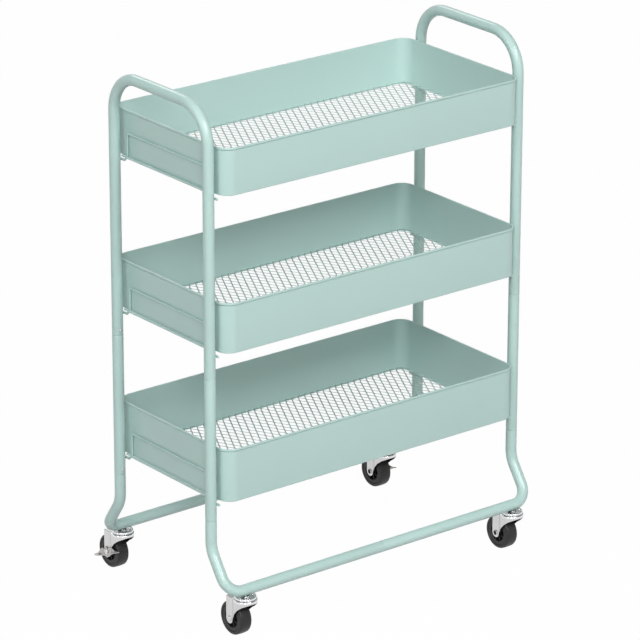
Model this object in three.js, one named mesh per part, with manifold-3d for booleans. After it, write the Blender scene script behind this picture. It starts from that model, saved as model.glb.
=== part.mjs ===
// Three-tier rolling utility cart: a round-tube frame with two loop handles, three sheet-steel
// trays with mesh floors hung on wire brackets, and four swivel casters, two of them with brakes.
// Millimetres, +Z up, +X to the right along the long side, +Y to the back. The origin is on the
// floor, under the middle of the whole cart with its casters trailing to the back.
import * as THREE from "three";
import { mergeVertices } from "three/addons/utils/BufferGeometryUtils.js";
import Module from "manifold-3d";

const wasm = await Module();
wasm.setup();

// Driving dimensions.
const GAP = 0.3; // play between neighbours that touch on the real cart

const TUBE_R = 8;
const TUBE_WALL = 1;
const POST_X = 272;
const POST_Y = 107.5;
const HANDLE_Z = 765;
const HANDLE_BEND = 54;
const UPPER_SEAM = 381.5;
const LOWER_SEAM = 172;
const RAIL_Y = 146;
const RAIL_Z = 73;
const KNEE_Z = 129;
const KNEE_BEND = 42;
const TOE_BEND = 25;

const SPIGOT_R = TUBE_R - TUBE_WALL - GAP;
const SPIGOT_WALL = 1;
const SPIGOT_LENGTH = 26;
const SPIGOT_ROOT = 4;
const JOINER_LENGTH = 60;
const SCREW_ABOVE_SEAM = 8.5;
const SCREW_R = 1.6;
const SCREW_LENGTH = 4;
const SCREW_HEAD_R = 2.8;
const SCREW_HEAD_TALL = 1.6;

const TRAY_X = 260;
const TRAY_Y = 128.4;
const TRAY_CORNER = 20;
const SHEET = 1;
const HEM_OUT = 1.2;
const HEM_TALL = 4.5;
const FLANGE_IN = 7;
const FLOOR_THICK = 1.2;
const TRAYS = [
  { tier: "top", bottom: 644.1, rim: 712 },
  { tier: "middle", bottom: 418.2, rim: 491.1 },
  { tier: "bottom", bottom: 199.7, rim: 278.1 },
];

const WIRE_R = 1.5;
const BRACKET_Y = 91;
const BRACKET_TALL = 34.5;
const BRACKET_FOOT = 13;
const BRACKET_BEND = 4;
const CROSSBAR_DROP = 0.5;
const CROSSBAR_JOGGLE = 5;
const CROSSBAR_BEND = 3;
const CROSSBAR_FLAT_Y = 93;
const CROSSBAR_END_Y = 114;

const CASTER_X = 242.5;
const TRAIL = 21.5;
const WHEEL_R = 25;
const WHEEL_HALF = 9.4;
const AXLE_R = 2.9;
const LEG_INNER = 10.4;
const LEG_THICK = 1.6;
const LEG_HALF = 7;
const GUSSET_CURVE_Z = 43;
const GUSSET_Y = -6;
const GUSSET_Z = 52;
const GUSSET_TOP_Y = -12;
const CROWN_R = 17.2;
const CROWN_Z = 57;
const CUP_R = 15.5;
const CUP_Z = 60.6;
const KINGPIN_R = 3;
const KINGPIN_HEAD_R = 5;
const KINGPIN_HEAD_TALL = 2.5;
const NUT_R = 6.4;
const NUT_TALL = 2.7;
const STUD_R = 4;
const STUD_INTO_RAIL = 4;
const RIVET_HEAD_R = 4.2;
const RIVET_HEAD_TALL = 1;
const RIVET_HOLLOW_R = 1.8;
const RIVET_HOLLOW_DEEP = 1.5;

const WHEEL_HUB_R = 5.2;
const WHEEL_WEB_R = 12.5;
const WHEEL_WEB_HALF = 4;
const WHEEL_RIM_R = 20;
const WHEEL_SHOULDER_R = 23.4;

const LEVER_THICK = 1.6;
const LEVER_HUB_R = 8;
const WING_LENGTH = 33;
const WING_DEEP = 4.2;
const WING_ROOT = 5;
const WING_MIDDLE = 20;
const WING_HALF_TALL = 3;
const WING_TIP_HALF = 0.8;
const WING_DROOP = THREE.MathUtils.degToRad(3);
const LEVER_TILT = THREE.MathUtils.degToRad(21.5);

const TUBE_SIDES = 12;
const WIRE_SIDES = 6;
const SMALL_SIDES = 8;
const WHEEL_SIDES = 20;
const CORNER_STEPS = 4;

// Finishes.
const paint = { color: 0xb7d6cf, roughness: 0.45, metalness: 0.1 };
const steel = { color: 0xd8d8d8, roughness: 0.35, metalness: 0.9 };
const chrome = { color: 0xe8e8ea, roughness: 0.12, metalness: 1 };
const tyre = { color: 0x333332, roughness: 0.7, metalness: 0 };

// The middle of the cart from front to back: the caster crowns reach furthest forward, and the
// tips of the brake levers reach furthest back.
const wingSlope = LEVER_TILT + WING_DROOP;
const wingReach = WING_LENGTH * Math.cos(wingSlope) + WING_TIP_HALF * Math.sin(wingSlope);
const frontReach = RAIL_Y + CROWN_R;
const backReach = RAIL_Y + TRAIL + wingReach;
const cart = new THREE.Group();
cart.position.y = (frontReach - backReach) / 2;

const SIDES = [
  { side: "left", sx: -1 },
  { side: "right", sx: 1 },
];
const ENDS = [
  { end: "front", sy: -1 },
  { end: "back", sy: 1 },
];

// ---- solids and meshes

function toSolid(geometry) {
  const bare = geometry.index ? geometry.toNonIndexed() : geometry.clone();
  bare.deleteAttribute("normal");
  bare.deleteAttribute("uv");
  const merged = mergeVertices(bare, 1e-4);
  const triVerts = new Uint32Array(merged.index.array);
  const vertProperties = merged.attributes.position.array;
  const solid = new wasm.Manifold(new wasm.Mesh({ numProp: 3, vertProperties, triVerts }));
  if (solid.volume() > 0) {
    return solid;
  }
  return new wasm.Manifold(new wasm.Mesh({ numProp: 3, vertProperties, triVerts: triVerts.reverse() }));
}

function toGeometry(solid) {
  const mesh = solid.getMesh();
  const positions = new Float32Array(mesh.numVert * 3);
  for (let i = 0; i < mesh.numVert; i++) {
    positions.set(mesh.vertProperties.subarray(i * mesh.numProp, i * mesh.numProp + 3), i * 3);
  }
  const geometry = new THREE.BufferGeometry();
  geometry.setAttribute("position", new THREE.BufferAttribute(positions, 3));
  geometry.setIndex(new THREE.BufferAttribute(mesh.triVerts, 1));
  geometry.computeVertexNormals();
  return geometry;
}

// Joins the first list of geometries and cuts the second list out of them.
function shaped(joined, cut = []) {
  let solid = toSolid(joined[0]);
  for (const geometry of joined.slice(1)) {
    solid = solid.add(toSolid(geometry));
  }
  for (const geometry of cut) {
    solid = solid.subtract(toSolid(geometry));
  }
  return toGeometry(solid);
}

function addPiece(parent, name, geometry, finish) {
  const mesh = new THREE.Mesh(geometry, new THREE.MeshStandardMaterial(finish));
  mesh.name = name;
  parent.add(mesh);
  return mesh;
}

// ---- shapes

function circlePoints(radius, sides) {
  const points = [];
  for (let i = 0; i < sides; i++) {
    const angle = (2 * Math.PI * i) / sides;
    points.push(new THREE.Vector2(radius * Math.cos(angle), radius * Math.sin(angle)));
  }
  return points;
}

function roundedRectPoints(halfX, halfY, radius, steps) {
  const points = [];
  const corners = [
    [1, 1],
    [-1, 1],
    [-1, -1],
    [1, -1],
  ];
  corners.forEach(([cx, cy], quarter) => {
    for (let i = 0; i <= steps; i++) {
      const angle = (Math.PI / 2) * (quarter + i / steps);
      const x = cx * (halfX - radius) + radius * Math.cos(angle);
      const y = cy * (halfY - radius) + radius * Math.sin(angle);
      points.push(new THREE.Vector2(x, y));
    }
  });
  return points;
}

function prism(outline, z, height, hole) {
  const shape = new THREE.Shape(outline);
  if (hole) {
    shape.holes.push(new THREE.Path(hole));
  }
  const geometry = new THREE.ExtrudeGeometry(shape, { depth: height, bevelEnabled: false });
  return geometry.translate(0, 0, z);
}

// A turned shape about the Z axis; the profile is a closed list of [radius, z], either way round.
function turned(profile, segments) {
  const points = profile.map(([radius, z]) => new THREE.Vector2(radius, z));
  if (THREE.ShapeUtils.area(points) < 0) {
    points.reverse();
  }
  points.push(points[0].clone());
  return new THREE.LatheGeometry(points, segments).rotateX(Math.PI / 2);
}

function rod(radius, from, to, segments) {
  return turned([[0, from], [radius, from], [radius, to], [0, to]], segments);
}

// A path of straight stretches with round bends, which carries a section only where it turns.
class BentPath extends THREE.Curve {
  constructor(corners, radii, bendSteps) {
    super();
    this.points = [corners[0].clone()];
    this.tangents = [corners[1].clone().sub(corners[0]).normalize()];
    for (let i = 1; i < corners.length - 1; i++) {
      this.addBend(corners[i - 1], corners[i], corners[i + 1], radii[i - 1], bendSteps);
    }
    const last = corners[corners.length - 1];
    this.points.push(last.clone());
    this.tangents.push(last.clone().sub(corners[corners.length - 2]).normalize());
  }

  addBend(before, corner, after, radius, steps) {
    const incoming = corner.clone().sub(before).normalize();
    const outgoing = after.clone().sub(corner).normalize();
    const turn = incoming.angleTo(outgoing);
    const axis = incoming.clone().cross(outgoing).normalize();
    const start = corner.clone().addScaledVector(incoming, -radius * Math.tan(turn / 2));
    const centre = start.clone().addScaledVector(axis.clone().cross(incoming), radius);
    for (let i = 0; i <= steps; i++) {
      const angle = (turn * i) / steps;
      const spoke = start.clone().sub(centre).applyAxisAngle(axis, angle);
      this.points.push(centre.clone().add(spoke));
      this.tangents.push(incoming.clone().applyAxisAngle(axis, angle));
    }
  }

  get steps() {
    return this.points.length - 1;
  }

  getSpacedPoints() {
    return this.points;
  }

  getTangentAt(u, target = new THREE.Vector3()) {
    return target.copy(this.tangents[Math.round(u * this.steps)]);
  }
}

function sweptAlong(path, outer, inner) {
  const shape = new THREE.Shape(outer);
  if (inner) {
    shape.holes.push(new THREE.Path(inner));
  }
  return new THREE.ExtrudeGeometry(shape, { steps: path.steps, extrudePath: path });
}

function tubeAlong(path) {
  return sweptAlong(path, circlePoints(TUBE_R, TUBE_SIDES), circlePoints(TUBE_R - TUBE_WALL, TUBE_SIDES));
}

function wireAlong(path) {
  return sweptAlong(path, circlePoints(WIRE_R, WIRE_SIDES));
}

// ---- frame

// A round hole through the inner wall of a post, for a seam screw. It faces the other post.
function screwHole(sx, sy, seam) {
  const radius = SCREW_R + GAP;
  const hole = new THREE.CylinderGeometry(radius, radius, 2 * SCREW_LENGTH, SMALL_SIDES);
  return hole.translate(sx * POST_X, sy * (POST_Y - TUBE_R), seam + SCREW_ABOVE_SEAM);
}

function handle(sx) {
  const y = POST_Y;
  const z = UPPER_SEAM + GAP;
  const corners = [
    new THREE.Vector3(sx * POST_X, -y, z),
    new THREE.Vector3(sx * POST_X, -y, HANDLE_Z),
    new THREE.Vector3(sx * POST_X, y, HANDLE_Z),
    new THREE.Vector3(sx * POST_X, y, z),
  ];
  const path = new BentPath(corners, [HANDLE_BEND, HANDLE_BEND], 5);
  return shaped([tubeAlong(path)], [screwHole(sx, -1, UPPER_SEAM), screwHole(sx, 1, UPPER_SEAM)]);
}

// The reduced end that slips into the tube above a seam. It overlaps the wall of its own tube.
function spigotProfile(seam) {
  const inner = SPIGOT_R - SPIGOT_WALL;
  const root = TUBE_R - TUBE_WALL / 2;
  return [
    [inner, seam - SPIGOT_ROOT],
    [root, seam - SPIGOT_ROOT],
    [root, seam - GAP],
    [SPIGOT_R, seam - GAP],
    [SPIGOT_R, seam + SPIGOT_LENGTH],
    [inner, seam + SPIGOT_LENGTH],
  ];
}

function lowerPost(sx, sy) {
  const bore = TUBE_R - TUBE_WALL;
  const from = LOWER_SEAM + GAP;
  const to = UPPER_SEAM - GAP;
  const wall = turned([[bore, from], [TUBE_R, from], [TUBE_R, to], [bore, to]], TUBE_SIDES);
  const spigot = turned(spigotProfile(UPPER_SEAM), TUBE_SIDES);
  for (const piece of [wall, spigot]) {
    piece.translate(sx * POST_X, sy * POST_Y, 0);
  }
  return shaped([wall, spigot], [screwHole(sx, sy, UPPER_SEAM), screwHole(sx, sy, LOWER_SEAM)]);
}

function baseLeg(sx, sy) {
  const corners = [
    new THREE.Vector3(sx * POST_X, sy * POST_Y, LOWER_SEAM - GAP),
    new THREE.Vector3(sx * POST_X, sy * POST_Y, KNEE_Z),
    new THREE.Vector3(sx * POST_X, sy * RAIL_Y, RAIL_Z),
    new THREE.Vector3(sx * GAP, sy * RAIL_Y, RAIL_Z),
  ];
  const tube = tubeAlong(new BentPath(corners, [KNEE_BEND, TOE_BEND], 4));
  const spigot = turned(spigotProfile(LOWER_SEAM), TUBE_SIDES).translate(sx * POST_X, sy * POST_Y, 0);
  const studHole = rod(STUD_R + GAP, RAIL_Z - 2 * TUBE_R, RAIL_Z, SMALL_SIDES);
  studHole.translate(sx * CASTER_X, sy * RAIL_Y, 0);
  return shaped([tube, spigot], [screwHole(sx, sy, LOWER_SEAM), studHole]);
}

function railJoiner(sy) {
  const half = JOINER_LENGTH / 2;
  const inner = SPIGOT_R - SPIGOT_WALL;
  const sleeve = turned([[inner, -half], [SPIGOT_R, -half], [SPIGOT_R, half], [inner, half]], TUBE_SIDES);
  return sleeve.rotateY(Math.PI / 2).translate(0, sy * RAIL_Y, RAIL_Z);
}

// A pan-head screw that points outwards from the inside of the cart, along Y.
function seamScrew(sx, sy, seam) {
  const seat = TUBE_R + GAP;
  const profile = [
    [0, seat - SCREW_LENGTH],
    [SCREW_R, seat - SCREW_LENGTH],
    [SCREW_R, seat],
    [SCREW_HEAD_R, seat],
    [SCREW_HEAD_R, seat + SCREW_HEAD_TALL / 2],
    [SCREW_HEAD_R / 2, seat + SCREW_HEAD_TALL],
    [0, seat + SCREW_HEAD_TALL],
  ];
  const screw = turned(profile, SMALL_SIDES).rotateX((sy * Math.PI) / 2);
  return screw.translate(sx * POST_X, sy * POST_Y, seam + SCREW_ABOVE_SEAM);
}

for (const { side, sx } of SIDES) {
  addPiece(cart, `handle_${side}`, handle(sx), paint);
  for (const { end, sy } of ENDS) {
    addPiece(cart, `lower_post_${side}_${end}`, lowerPost(sx, sy), paint);
    addPiece(cart, `base_leg_${side}_${end}`, baseLeg(sx, sy), paint);
    addPiece(cart, `upper_screw_${side}_${end}`, seamScrew(sx, sy, UPPER_SEAM), steel);
    addPiece(cart, `lower_screw_${side}_${end}`, seamScrew(sx, sy, LOWER_SEAM), steel);
  }
}
for (const { end, sy } of ENDS) {
  addPiece(cart, `rail_joiner_${end}`, railJoiner(sy), steel);
}

// ---- trays

function trayOutline(inset) {
  return roundedRectPoints(TRAY_X - inset, TRAY_Y - inset, TRAY_CORNER - inset, CORNER_STEPS);
}

// A level ring of sheet around the tray, from an outer to an inner inset from the tray's outline.
function trayRing(outerInset, innerInset, z, height) {
  return prism(trayOutline(outerInset), z, height, trayOutline(innerInset));
}

function trayWall({ bottom, rim }) {
  const wall = trayRing(0, SHEET, bottom, rim - bottom - HEM_TALL / 2);
  const hem = trayRing(-HEM_OUT, SHEET, rim - HEM_TALL, HEM_TALL);
  const flange = trayRing(0, FLANGE_IN + SHEET, bottom, SHEET);
  return shaped([wall, hem, flange]);
}

function trayFloor({ bottom }) {
  return prism(trayOutline(SHEET + GAP), bottom + SHEET + GAP, FLOOR_THICK);
}

// The wire loop on the end face of a tray. Its feet rest on the crossbar and point outwards.
function endBracket(sx, { bottom }) {
  const x = sx * (TRAY_X + WIRE_R + GAP);
  const foot = bottom - CROSSBAR_DROP + 2 * WIRE_R + GAP;
  const top = bottom + BRACKET_TALL;
  const corners = [
    new THREE.Vector3(x, -BRACKET_Y - BRACKET_FOOT, foot),
    new THREE.Vector3(x, -BRACKET_Y, foot),
    new THREE.Vector3(x, -BRACKET_Y, top),
    new THREE.Vector3(x, BRACKET_Y, top),
    new THREE.Vector3(x, BRACKET_Y, foot),
    new THREE.Vector3(x, BRACKET_Y + BRACKET_FOOT, foot),
  ];
  return wireAlong(new BentPath(corners, Array(4).fill(BRACKET_BEND), 2));
}

// The wire between two posts that carries one end of a tray. Its ends step down and pass the posts.
function endCrossbar(sx, { bottom }) {
  const x = sx * (POST_X - TUBE_R - WIRE_R - GAP);
  const high = bottom - CROSSBAR_DROP;
  const low = high - CROSSBAR_JOGGLE;
  const flat = CROSSBAR_FLAT_Y;
  const stepped = flat + CROSSBAR_JOGGLE;
  const corners = [
    new THREE.Vector3(x, -CROSSBAR_END_Y, low),
    new THREE.Vector3(x, -stepped, low),
    new THREE.Vector3(x, -flat, high),
    new THREE.Vector3(x, flat, high),
    new THREE.Vector3(x, stepped, low),
    new THREE.Vector3(x, CROSSBAR_END_Y, low),
  ];
  return wireAlong(new BentPath(corners, Array(4).fill(CROSSBAR_BEND), 1));
}

for (const tray of TRAYS) {
  addPiece(cart, `${tray.tier}_tray_wall`, trayWall(tray), paint);
  addPiece(cart, `${tray.tier}_tray_floor`, trayFloor(tray), paint);
  for (const { side, sx } of SIDES) {
    addPiece(cart, `${tray.tier}_tray_bracket_${side}`, endBracket(sx, tray), paint);
    addPiece(cart, `${tray.tier}_tray_crossbar_${side}`, endCrossbar(sx, tray), paint);
  }
}

// ---- casters, each in a group whose origin is on the floor under its swivel axis

const AXLE_SPOT = new THREE.Vector3(0, TRAIL, WHEEL_R);

// The stud in the rail, the nut under the rail and the kingpin that the fork turns on.
function casterStem() {
  const nutTop = RAIL_Z - TUBE_R - GAP;
  const nut = new THREE.CylinderGeometry(NUT_R, NUT_R, NUT_TALL, 6).rotateX(Math.PI / 2);
  nut.translate(0, 0, nutTop - NUT_TALL / 2);
  const headTop = CROWN_Z - GAP;
  const studFoot = nutTop - NUT_TALL / 2;
  const pin = turned(
    [
      [0, headTop - KINGPIN_HEAD_TALL],
      [KINGPIN_HEAD_R, headTop - KINGPIN_HEAD_TALL],
      [KINGPIN_HEAD_R, headTop],
      [KINGPIN_R, headTop],
      [KINGPIN_R, studFoot],
      [STUD_R, studFoot],
      [STUD_R, RAIL_Z + STUD_INTO_RAIL],
      [0, RAIL_Z + STUD_INTO_RAIL],
    ],
    TUBE_SIDES,
  );
  return shaped([nut, pin]);
}

// The upper race: a shallow cup with a raised lip, fixed to the stem.
function casterCup() {
  const bore = KINGPIN_R + GAP;
  const lipTop = CUP_Z + 3.8;
  return turned(
    [
      [bore, CUP_Z],
      [CUP_R - SHEET, CUP_Z],
      [CUP_R, CUP_Z + SHEET],
      [CUP_R, lipTop],
      [CUP_R - 1.5 * SHEET, lipTop],
      [CUP_R - 2 * SHEET, CUP_Z + SHEET],
      [bore, CUP_Z + SHEET],
    ],
    TUBE_SIDES,
  );
}

// A flat fork leg at x: a strip that hangs from the crown to a round end at the axle, and widens
// forward at the top into a gusset.
function forkLeg(x) {
  const top = CROWN_Z + LEG_THICK / 2;
  const shape = new THREE.Shape();
  shape.moveTo(TRAIL + LEG_HALF, top);
  shape.lineTo(TRAIL + LEG_HALF, WHEEL_R);
  shape.absarc(TRAIL, WHEEL_R, LEG_HALF, 0, -Math.PI, true);
  shape.quadraticCurveTo(TRAIL - LEG_HALF, GUSSET_CURVE_Z, GUSSET_Y, GUSSET_Z);
  shape.lineTo(GUSSET_TOP_Y, top);
  shape.closePath();
  const axleHole = circlePoints(AXLE_R + GAP, SMALL_SIDES);
  axleHole.forEach((point) => point.add({ x: TRAIL, y: WHEEL_R }));
  shape.holes.push(new THREE.Path(axleHole));
  const leg = new THREE.ExtrudeGeometry(shape, { depth: LEG_THICK, bevelEnabled: false, curveSegments: 4 });
  return outlineToYZ(leg).translate(x, 0, 0);
}

// Turns an outline that was extruded along Z so that its axes are Y and Z and its depth is X.
function outlineToYZ(geometry) {
  return geometry.rotateX(Math.PI / 2).rotateZ(Math.PI / 2);
}

function fork() {
  const bore = KINGPIN_R + GAP;
  const lipTop = CUP_Z - GAP;
  const crown = turned(
    [
      [bore, CROWN_Z],
      [CROWN_R - SHEET, CROWN_Z],
      [CROWN_R, CROWN_Z + SHEET],
      [CROWN_R, lipTop],
      [CROWN_R - SHEET, lipTop],
      [CROWN_R - 2 * SHEET, CROWN_Z + LEG_THICK],
      [bore, CROWN_Z + LEG_THICK],
    ],
    TUBE_SIDES,
  );
  const half = LEG_INNER + LEG_THICK;
  const bridgeFront = CROWN_R / 2;
  const bridgeBack = TRAIL + LEG_HALF;
  const bridge = new THREE.BoxGeometry(2 * half, bridgeBack - bridgeFront, LEG_THICK);
  bridge.translate(0, (bridgeBack + bridgeFront) / 2, CROWN_Z + LEG_THICK / 2);
  return shaped([crown, bridge, forkLeg(LEG_INNER), forkLeg(-half)]);
}

// A rivet through the fork and the wheel, along X, with a hollow in each end.
function axle(leftReach, rightReach) {
  const profile = [
    [0, -leftReach + RIVET_HOLLOW_DEEP],
    [RIVET_HOLLOW_R, -leftReach + RIVET_HOLLOW_DEEP],
    [RIVET_HOLLOW_R, -leftReach - RIVET_HEAD_TALL],
    [RIVET_HEAD_R, -leftReach - RIVET_HEAD_TALL],
    [RIVET_HEAD_R, -leftReach],
    [AXLE_R, -leftReach],
    [AXLE_R, rightReach],
    [RIVET_HEAD_R, rightReach],
    [RIVET_HEAD_R, rightReach + RIVET_HEAD_TALL],
    [RIVET_HOLLOW_R, rightReach + RIVET_HEAD_TALL],
    [RIVET_HOLLOW_R, rightReach - RIVET_HOLLOW_DEEP],
    [0, rightReach - RIVET_HOLLOW_DEEP],
  ];
  return turned(profile, SMALL_SIDES).rotateY(Math.PI / 2);
}

function wheel() {
  const bore = AXLE_R + GAP;
  const half = [
    [bore, WHEEL_HALF],
    [WHEEL_HUB_R, WHEEL_HALF],
    [WHEEL_HUB_R, WHEEL_WEB_HALF],
    [WHEEL_WEB_R, WHEEL_WEB_HALF],
    [WHEEL_RIM_R, WHEEL_HALF],
    [WHEEL_SHOULDER_R, WHEEL_HALF],
    [WHEEL_R, WHEEL_HALF / 2],
  ];
  const mirrored = half.map(([radius, x]) => [radius, -x]).reverse();
  return turned([...half, ...mirrored], WHEEL_SIDES).rotateY(Math.PI / 2);
}

// One wing of the foot lever: a tapered blade that reaches from the hub to a narrow tip.
function leverWing(way) {
  const wing = new THREE.Shape();
  wing.moveTo(way * WING_ROOT, -WING_ROOT);
  wing.lineTo(way * WING_MIDDLE, -WING_HALF_TALL);
  wing.lineTo(way * WING_LENGTH, -WING_TIP_HALF);
  wing.lineTo(way * WING_LENGTH, WING_TIP_HALF);
  wing.lineTo(way * WING_MIDDLE, WING_HALF_TALL);
  wing.lineTo(way * WING_ROOT, WING_ROOT);
  wing.closePath();
  const blade = new THREE.ExtrudeGeometry(wing, { depth: WING_DEEP, bevelEnabled: false });
  return blade.rotateZ(-way * WING_DROOP);
}

// The see-saw foot lever beside the fork, made for a caster whose outer face is towards +X. Its
// hub is a thin plate on the axle, with room for the rivet head between the wings.
function brakeLever() {
  const hub = new THREE.Shape(circlePoints(LEVER_HUB_R, TUBE_SIDES));
  hub.holes.push(new THREE.Path(circlePoints(AXLE_R + GAP, SMALL_SIDES)));
  const plate = new THREE.ExtrudeGeometry(hub, { depth: LEVER_THICK, bevelEnabled: false });
  const roomR = RIVET_HEAD_R + 2 * GAP;
  const hubRoom = new THREE.CylinderGeometry(roomR, roomR, WING_DEEP, TUBE_SIDES).rotateX(Math.PI / 2);
  hubRoom.translate(0, 0, LEVER_THICK + WING_DEEP / 2);
  return outlineToYZ(shaped([plate, leverWing(-1), leverWing(1)], [hubRoom]));
}

for (const { side, sx } of SIDES) {
  for (const { end, sy } of ENDS) {
    const braked = sy > 0;
    const caster = new THREE.Group();
    caster.position.set(sx * CASTER_X, sy * RAIL_Y, 0);
    cart.add(caster);
    const name = (piece) => `caster_${piece}_${side}_${end}`;
    const plainReach = LEG_INNER + LEG_THICK + GAP;
    const brakedReach = plainReach + LEVER_THICK + GAP;
    const leftReach = braked && sx < 0 ? brakedReach : plainReach;
    const rightReach = braked && sx > 0 ? brakedReach : plainReach;
    addPiece(caster, name("stem"), casterStem(), steel);
    addPiece(caster, name("cup"), casterCup(), chrome);
    addPiece(caster, name("fork"), fork(), steel);
    addPiece(caster, name("axle"), axle(leftReach, rightReach), steel).position.copy(AXLE_SPOT);
    addPiece(caster, name("wheel"), wheel(), tyre).position.copy(AXLE_SPOT);
    if (braked) {
      const lever = brakeLever();
      if (sx < 0) {
        lever.rotateZ(Math.PI);
      }
      const piece = addPiece(caster, name("brake"), lever, steel);
      piece.position.set(sx * plainReach, TRAIL, WHEEL_R);
      piece.rotation.x = -LEVER_TILT;
    }
  }
}

export default cart;
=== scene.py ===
# %% [markdown]
# # A three-tier utility cart, from its measured frame to its finish
# This lesson dresses a measured model of a small rolling cart. The measured solids fix every
# size and every joint, so nothing here moves or resizes them. What they lack is what the eye
# looks for: round tube, rolled sheet edges, an open mesh floor, pressed caster steel and paint.
# Each piece is made finer in the same place as the plain solid it stands for.

# %% Load the measured model
import math

import bmesh
import bpy
from mathutils import Matrix, Vector


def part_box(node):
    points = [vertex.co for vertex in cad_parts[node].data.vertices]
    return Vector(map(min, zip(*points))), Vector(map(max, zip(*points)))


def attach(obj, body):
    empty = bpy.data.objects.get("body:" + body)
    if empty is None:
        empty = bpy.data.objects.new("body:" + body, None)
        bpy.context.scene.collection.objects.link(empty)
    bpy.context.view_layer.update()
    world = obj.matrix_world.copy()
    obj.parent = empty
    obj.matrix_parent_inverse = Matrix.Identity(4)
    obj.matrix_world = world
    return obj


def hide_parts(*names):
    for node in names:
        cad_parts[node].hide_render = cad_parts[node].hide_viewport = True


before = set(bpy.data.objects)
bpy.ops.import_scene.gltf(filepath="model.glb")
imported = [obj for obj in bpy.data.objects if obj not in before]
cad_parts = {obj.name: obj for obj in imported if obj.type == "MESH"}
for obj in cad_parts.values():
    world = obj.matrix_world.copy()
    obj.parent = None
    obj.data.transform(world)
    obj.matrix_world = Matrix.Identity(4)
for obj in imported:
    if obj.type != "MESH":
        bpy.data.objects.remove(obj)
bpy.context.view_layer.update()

MM = 0.001
UP = Vector((0, 0, 1))
SIDES = (("left", -1), ("right", 1))
ENDS = (("front", -1), ("back", 1))
TIERS = ("top", "middle", "bottom")


def add_object(name, data):
    thing = bpy.data.objects.new(name, data)
    bpy.context.scene.collection.objects.link(thing)
    return thing


# %% [markdown]
# ## Where things are
# A reader could type in every position, but then the looks and the measured solids would drift
# apart with the first change. Instead the driving places are read from the boxes of the solids:
# the middle of the cart from a tray, the tube from a post, the wheels from the casters.

# %% Read the driving places
tray_low, tray_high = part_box("top_tray_floor")
post_low, post_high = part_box("lower_post_right_back")
handle_low, handle_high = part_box("handle_right")
rail_low, rail_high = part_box("base_leg_right_back")
MID_Y = (tray_low.y + tray_high.y) / 2
TUBE_R = (post_high.x - post_low.x) / 2
POST_X = (post_low.x + post_high.x) / 2
POST_Y = (post_low.y + post_high.y) / 2 - MID_Y
RAIL_Y = rail_high.y - TUBE_R - MID_Y
RAIL_Z = rail_low.z + TUBE_R
HANDLE_Z = handle_high.z - TUBE_R
UPPER_SEAM = handle_low.z
LOWER_SEAM = post_low.z
print(f"post at {POST_X:.4f}, {POST_Y:.4f}; rail at {RAIL_Y:.4f}, {RAIL_Z:.4f}")

# %% [markdown]
# ## The camera
# A long lens from far away keeps the cart's uprights nearly parallel, as catalogues like
# them. The camera is placed by angles round the cart and by a distance, because those are
# the values that a person would turn, and not by a raw position.

# %% Place the camera
AZIMUTH = math.radians(-38.18)
ELEVATION = math.radians(20.66)
ROLL = math.radians(0.09)
DISTANCE = 5.922
LENS = 235.3
AIM = Vector((0, MID_Y - 0.0036, 0.373))


def compass(azimuth, elevation):
    """The direction from the cart towards a place at a compass angle and a height angle."""
    level = math.cos(elevation)
    return Vector((math.sin(azimuth) * level, -math.cos(azimuth) * level, math.sin(elevation)))


back = compass(AZIMUTH, ELEVATION)
level_right = Vector((math.cos(AZIMUTH), math.sin(AZIMUTH), 0))
level_up = back.cross(level_right)
right = level_right * math.cos(ROLL) + level_up * math.sin(ROLL)
up = back.cross(right)
lens = bpy.data.cameras.new("catalogue lens")
lens.lens = LENS
lens.sensor_width = 36
lens.clip_end = 100
camera = add_object("camera", lens)
turn = Matrix((right, up, back)).transposed().to_4x4()
camera.matrix_world = Matrix.Translation(AIM + back * DISTANCE) @ turn
bpy.context.scene.camera = camera
bpy.context.scene.view_settings.view_transform = "Standard"
print("camera at", [round(v, 3) for v in camera.location])

# %% [markdown]
# ## Node trees as sums
# Node trees are easy to get wrong when every link is a line of its own. One small class wraps
# a socket so that `1 - worn * 0.3` adds the Math nodes, and one method adds any other node.
# The same pair serves material trees and geometry trees, since both use the same Math node.

# %% A socket that can be added and multiplied
class Value:
    def __init__(self, tree, socket):
        self.tree = tree
        self.socket = socket

    def __getitem__(self, name):
        return Value(self.tree, find_socket(self.socket.node.outputs, name))

    def math(self, operation, *values):
        return self.tree.add("ShaderNodeMath", dict(enumerate(values)), operation=operation)

    def __add__(self, other):
        return self.math("ADD", self, other)

    def __sub__(self, other):
        return self.math("SUBTRACT", self, other)

    def __rsub__(self, other):
        return self.math("SUBTRACT", other, self)

    def __mul__(self, other):
        return self.math("MULTIPLY", self, other)

    def __truediv__(self, other):
        return self.math("DIVIDE", self, other)

    def __neg__(self):
        return self.math("MULTIPLY", self, -1)

    def held_within(self, limit):
        return self.math("MINIMUM", self.math("MAXIMUM", self, -limit), limit)

    __radd__ = __add__


def find_socket(sockets, key):
    if isinstance(key, int):
        return sockets[key]
    return next(s for s in sockets if s.enabled and s.name == key)


# %% A tree with one way to add a node
class Tree:
    def __init__(self, tree):
        self.tree = tree

    def add(self, kind, values=None, **settings):
        """Add a node. Values go into its inputs by name, and settings onto the node itself."""
        node = self.tree.nodes.new(kind)
        for name, setting in settings.items():
            setattr(node, name, setting)
        for key, value in (values or {}).items():
            socket = find_socket(node.inputs, key)
            if isinstance(value, Value):
                self.tree.links.new(value.socket, socket)
            else:
                socket.default_value = value
        outputs = [s for s in node.outputs if s.enabled]
        return Value(self, outputs[0]) if outputs else node


# %% [markdown]
# ## Finishes
# Paint and plate look real because of small unevenness: a slow drift of tone, a fine texture
# that breaks up a highlight, and a gloss that isn't the same everywhere. All of it is worked
# out from Object coordinates, so that it stays put when a wheel or a fork turns.

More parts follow.
